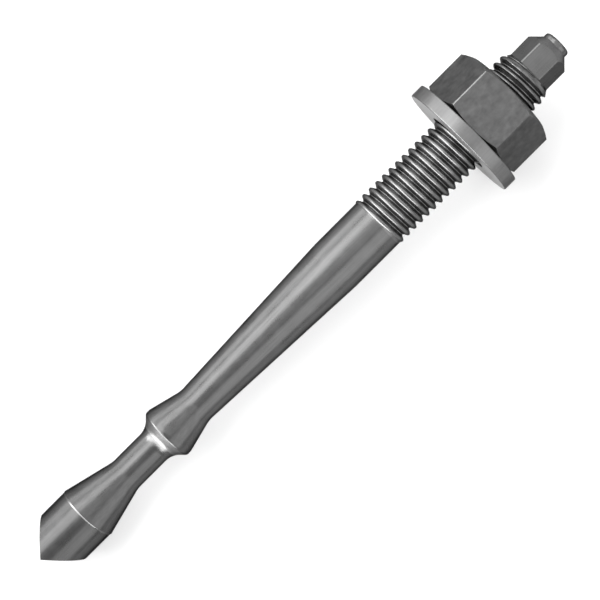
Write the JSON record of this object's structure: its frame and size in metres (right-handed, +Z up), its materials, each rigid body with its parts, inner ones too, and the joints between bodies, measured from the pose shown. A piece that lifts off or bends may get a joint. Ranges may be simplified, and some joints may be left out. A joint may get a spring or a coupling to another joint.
{
  "type": "anchor rod",
  "caption": "Steel anchor rod for a bonded fixing: chisel tip, waisted taper, threaded end with hexagon drive, flat washer and hexagon nut run on.",
  "frame": {"origin": "centre of the bounding box's underside, on the surface that the rod lies on", "axes": "+X from the chisel tip to the threaded end along the floor, +Z up; the rod's own axis climbs a few degrees from tip to thread, because it lies on its tip and its washer"},
  "size_m": [0.1184, 0.0216, 0.0216],
  "materials": {
    "rod_steel": "drawn and rolled, bright to satin",
    "washer_steel": "punched, satin",
    "nut_steel": "cold formed, dull satin"
  },
  "bodies": {
    "rod": {"anchor_rod": "rod_steel"},
    "washer": {"flat_washer": "washer_steel"},
    "nut": {"hexagon_nut": "nut_steel"}
  },
  "joints": [
    {"name": "washer_slide", "type": "slide", "parent": "rod", "child": "washer", "axis": [0.9983, 0, 0.0591], "range_m": [-0.019, 0.011]},
    {"name": "nut_turn", "type": "hinge", "parent": "washer", "child": "nut", "pos_m": [0.04307, 0, 0.01113], "axis": [0.9983, 0, 0.0591], "range_deg": [-4560, 2640]}
  ],
  "couplings": [
    {"joint": "washer_slide", "follows": "nut_turn", "m_per_rad": 0.00023873}
  ]
}
